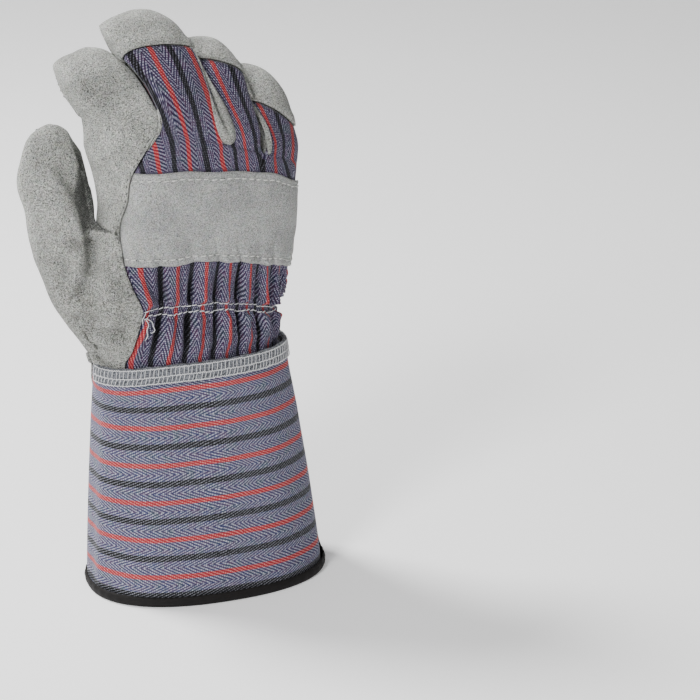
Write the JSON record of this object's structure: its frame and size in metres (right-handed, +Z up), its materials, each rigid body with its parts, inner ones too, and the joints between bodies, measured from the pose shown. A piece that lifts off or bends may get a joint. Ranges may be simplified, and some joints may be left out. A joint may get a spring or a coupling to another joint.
{
  "type": "leather gauntlet glove",
  "caption": "Right-hand work glove of grey suede with a striped cloth back, a suede knuckle strap and a long flared cloth gauntlet cuff bound in black.",
  "frame": {"origin": "on the ground under the middle of the bounding box, at the level of the hem that the glove stands on", "axes": "+Z up from the hem to the fingertips, +X from the thumb to the little finger, -Y out of the back of the hand, +Y out of the palm"},
  "size_m": [0.1573, 0.0894, 0.3102],
  "materials": {
    "suede_leather": "split suede, grey, napped",
    "strap_leather": "split suede, grey, fine nap",
    "striped_cloth": "blue herringbone cotton with red and black stripes",
    "overlocked_edge": "cloth edge under white overlock thread",
    "lining_cloth": "plain grey-green cotton",
    "binding_tape": "black woven tape, matt"
  },
  "bodies": {
    "root": {"palm_leather": "suede_leather", "middle_finger_front": "suede_leather", "ring_finger_front": "suede_leather", "index_back_leather": "suede_leather", "thumb_back_leather": "suede_leather", "back_fabric": "striped_cloth", "fingertip_middle": "suede_leather", "fingertip_ring": "suede_leather", "fingertip_little": "suede_leather", "fourchette_index_middle": "suede_leather", "fourchette_middle_ring": "suede_leather", "fourchette_ring_little": "suede_leather", "knuckle_strap": "strap_leather", "cuff": "striped_cloth", "cuff_lining": "lining_cloth", "hem_binding": "binding_tape", "cuff_top_edge": "overlocked_edge"}
  },
  "joints": []
}
